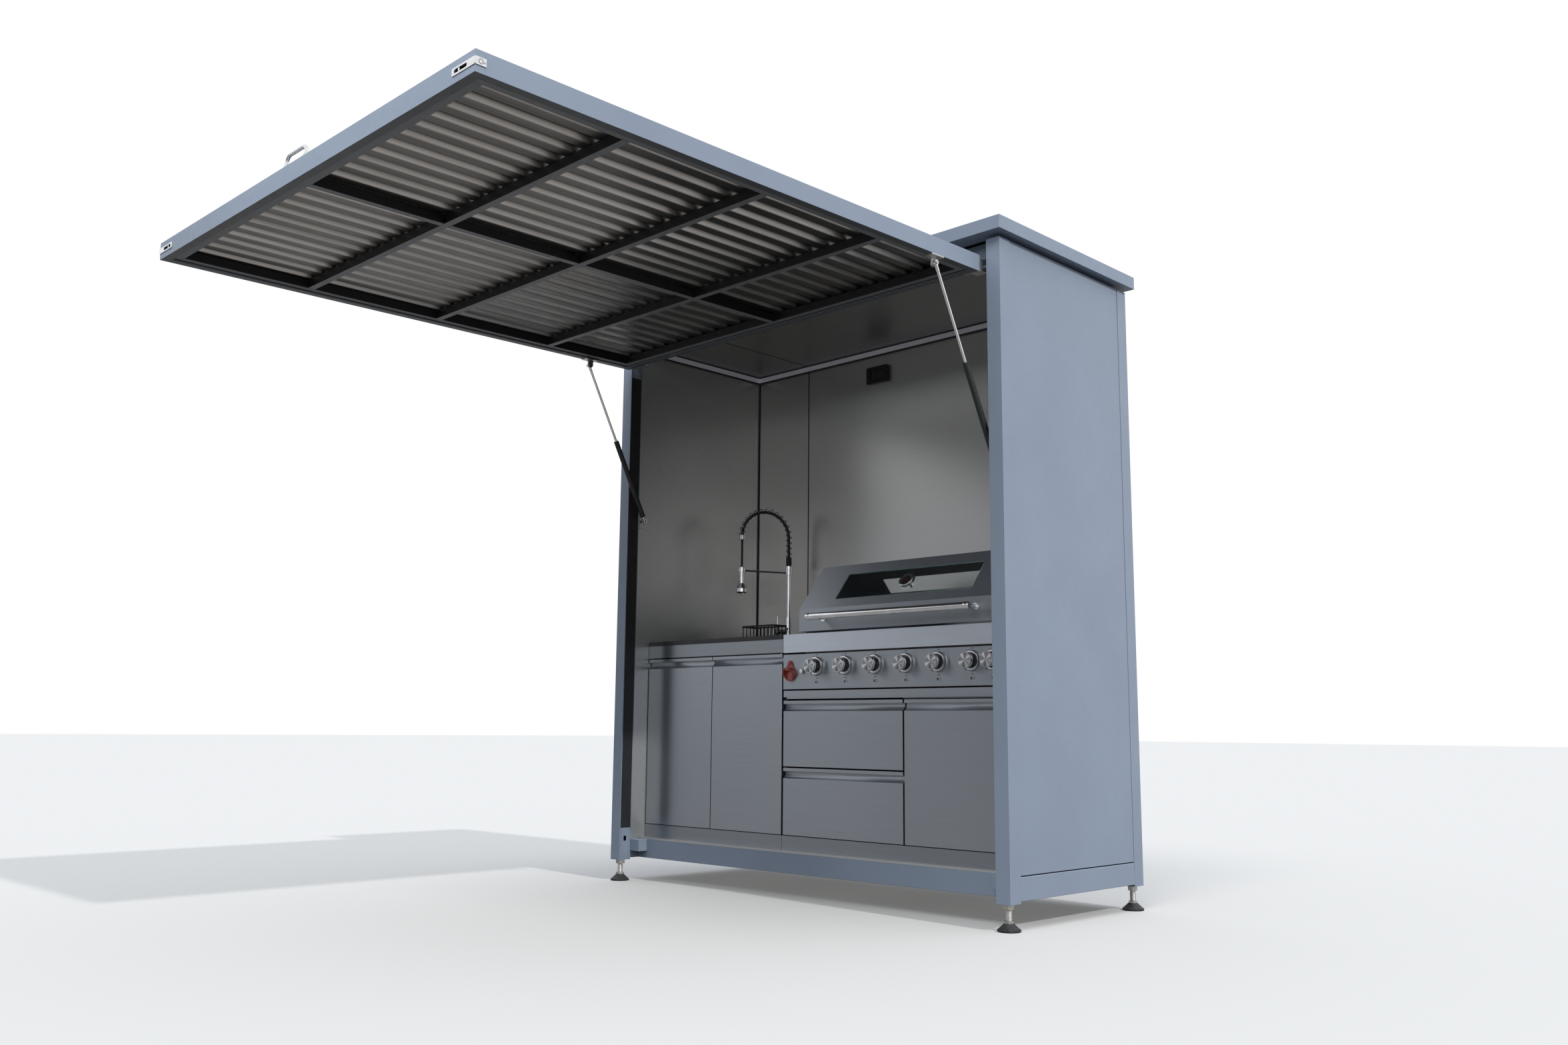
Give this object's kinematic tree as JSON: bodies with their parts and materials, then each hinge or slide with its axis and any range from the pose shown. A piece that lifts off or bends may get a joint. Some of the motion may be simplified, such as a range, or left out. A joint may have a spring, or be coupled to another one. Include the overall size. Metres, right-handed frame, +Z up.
{
  "type": "outdoor barbecue kitchen with a gas grill",
  "caption": "Steel outdoor kitchen cabinet on levelling feet whose front swings up as a canopy on gas struts, with a hooded gas grill, sink, tap, doors and drawers inside.",
  "frame": {"origin": "on the ground, under the middle of the whole unit with its canopy open", "axes": "+X to the user's right, +Y to the back, +Z up; the canopy reaches out along -Y"},
  "size_m": [2.051, 2.8604, 2.344],
  "materials": {
    "blue_grey_paint": "satin blue-grey powder coat",
    "brushed_steel": "brushed stainless",
    "black_paint": "satin black",
    "corrugated_steel": "dark galvanised",
    "aluminium_channel": "satin with a diffuser",
    "chrome": "polished",
    "black_slab": "honed black composite",
    "black_rubber": "matt",
    "clear_glass": "clear with a green edge",
    "cast_iron": "seasoned",
    "red_copper": "reddish cast",
    "black_plastic": "matt"
  },
  "bodies": {
    "cabinet": {"base_frame": "blue_grey_paint", "bottle_opener": "red_copper", "ceiling_panels": "brushed_steel", "control_panel": "brushed_steel", "cooking_grates": "cast_iron", "dish_basket": "black_paint", "firebox": "brushed_steel", "flame_tamers": "brushed_steel", "floor_panel": "brushed_steel", "foot_pads": "black_rubber", "foot_studs": "chrome", "gas_train": "brushed_steel", "grill_cabinet": "brushed_steel", "grill_deck": "brushed_steel", "light_strips": "aluminium_channel", "posts": "blue_grey_paint", "rear_panel": "blue_grey_paint", "roof_cap": "blue_grey_paint", "side_panels": "blue_grey_paint", "sink_bowl": "brushed_steel", "sink_cabinet": "brushed_steel", "sink_drain": "chrome", "tap_column": "chrome", "top_frame": "blue_grey_paint", "wall_liners": "brushed_steel", "wall_socket": "black_plastic", "worktop": "black_slab"},
    "canopy": {"canopy_frame": "blue_grey_paint", "canopy_grid": "black_paint", "canopy_sheet": "corrugated_steel", "canopy_brackets": "chrome", "latch_plates": "chrome", "canopy_handle": "chrome"},
    "strut_rods": {"strut_rods": "chrome"},
    "strut_cylinders": {"strut_cylinders": "black_paint"},
    "slide_bolt_left": {"slide_bolt_left": "chrome"},
    "slide_bolt_right": {"slide_bolt_right": "chrome"},
    "hood": {"hood": "brushed_steel", "hood_glass": "clear_glass", "hood_handle": "chrome", "thermometer": "chrome"},
    "igniter_button": {"igniter_button": "chrome"},
    "door_left": {"door_left": "brushed_steel"},
    "door_middle": {"door_middle": "brushed_steel"},
    "door_right": {"door_right": "brushed_steel"},
    "drawer_upper": {"drawer_upper": "brushed_steel"},
    "drawer_lower": {"drawer_lower": "brushed_steel"},
    "drip_tray": {"drip_tray": "brushed_steel"},
    "tap_spout": {"spout_arm": "chrome", "spout_hose": "chrome", "spray_head": "chrome"},
    "tap_lever": {"tap_lever": "chrome"},
    "knob_1": {"knob_1": "chrome"},
    "knob_2": {"knob_2": "chrome"},
    "knob_3": {"knob_3": "chrome"},
    "knob_4": {"knob_4": "chrome"},
    "knob_5": {"knob_5": "chrome"},
    "knob_6": {"knob_6": "chrome"},
    "knob_7": {"knob_7": "chrome"}
  },
  "joints": [
    {"name": "canopy_hinge", "type": "hinge", "parent": "cabinet", "child": "canopy", "pos_m": [0, 0.61173, 2.1965], "axis": [1, 0, 0], "range_deg": [0, 89.25]},
    {"name": "strut_rod_pivot", "type": "hinge", "parent": "canopy", "child": "strut_rods", "pos_m": [0, 0.33243, 2.14084], "axis": [1, 0, 0], "range_deg": [-117.46, 0]},
    {"name": "strut_slide", "type": "slide", "parent": "strut_rods", "child": "strut_cylinders", "axis": [0, -0.4572, 0.8894], "range_m": [0, 0.30285]},
    {"name": "latch_bolt_left", "type": "slide", "parent": "canopy", "child": "slide_bolt_left", "axis": [-1, 0, 0], "range_m": [0, 0.016]},
    {"name": "latch_bolt_right", "type": "slide", "parent": "canopy", "child": "slide_bolt_right", "axis": [1, 0, 0], "range_m": [0, 0.016]},
    {"name": "hood_hinge", "type": "hinge", "parent": "cabinet", "child": "hood", "pos_m": [0.41, 1.13923, 1.022], "axis": [1, 0, 0], "range_deg": [-75, 0]},
    {"name": "knob_1_turn", "type": "hinge", "parent": "cabinet", "child": "knob_1", "pos_m": [0.042, 0.71873, 0.863], "axis": [0, -1, 0], "range_deg": [0, 120]},
    {"name": "knob_2_turn", "type": "hinge", "parent": "cabinet", "child": "knob_2", "pos_m": [0.1868, 0.71873, 0.863], "axis": [0, -1, 0], "range_deg": [0, 120]},
    {"name": "knob_3_turn", "type": "hinge", "parent": "cabinet", "child": "knob_3", "pos_m": [0.3316, 0.71873, 0.863], "axis": [0, -1, 0], "range_deg": [0, 120]},
    {"name": "knob_4_turn", "type": "hinge", "parent": "cabinet", "child": "knob_4", "pos_m": [0.4764, 0.71873, 0.863], "axis": [0, -1, 0], "range_deg": [0, 120]},
    {"name": "knob_5_turn", "type": "hinge", "parent": "cabinet", "child": "knob_5", "pos_m": [0.6212, 0.71873, 0.863], "axis": [0, -1, 0], "range_deg": [0, 120]},
    {"name": "knob_6_turn", "type": "hinge", "parent": "cabinet", "child": "knob_6", "pos_m": [0.766, 0.71873, 0.863], "axis": [0, -1, 0], "range_deg": [0, 120]},
    {"name": "knob_7_turn", "type": "hinge", "parent": "cabinet", "child": "knob_7", "pos_m": [0.854, 0.71873, 0.863], "axis": [0, -1, 0], "range_deg": [0, 120]},
    {"name": "igniter_push", "type": "slide", "parent": "cabinet", "child": "igniter_button", "axis": [0, 1, 0], "range_m": [0, 0.005], "stiffness_N_per_m": 500},
    {"name": "door_left_hinge", "type": "hinge", "parent": "cabinet", "child": "door_left", "pos_m": [-0.928, 0.72873, 0.6], "axis": [0, 0, 1], "range_deg": [-90, 0]},
    {"name": "door_middle_hinge", "type": "hinge", "parent": "cabinet", "child": "door_middle", "pos_m": [-0.155, 0.72873, 0.6], "axis": [0, 0, -1], "range_deg": [-90, 0]},
    {"name": "door_right_hinge", "type": "hinge", "parent": "cabinet", "child": "door_right", "pos_m": [0.928, 0.72873, 0.5], "axis": [0, 0, -1], "range_deg": [-90, 0]},
    {"name": "drawer_upper_slide", "type": "slide", "parent": "cabinet", "child": "drawer_upper", "axis": [0, 1, 0], "range_m": [-0.4, 0]},
    {"name": "drawer_lower_slide", "type": "slide", "parent": "cabinet", "child": "drawer_lower", "axis": [0, 1, 0], "range_m": [-0.4, 0]},
    {"name": "drip_tray_slide", "type": "slide", "parent": "cabinet", "child": "drip_tray", "axis": [0, 1, 0], "range_m": [-0.35, 0]},
    {"name": "tap_swivel", "type": "hinge", "parent": "cabinet", "child": "tap_spout", "pos_m": [-0.658, 1.28323, 1.311], "axis": [0, 0, 1], "range_deg": [-60, 100]},
    {"name": "tap_lever_turn", "type": "hinge", "parent": "cabinet", "child": "tap_lever", "pos_m": [-0.68144, 1.228, 1.054], "axis": [-0.3907, -0.9205, 0], "range_deg": [-45, 45]}
  ],
  "couplings": [
    {"joint": "strut_rod_pivot", "follows": "canopy_hinge", "ratio": -1.3159},
    {"joint": "strut_slide", "follows": "canopy_hinge", "m_per_rad": 0.19436}
  ]
}
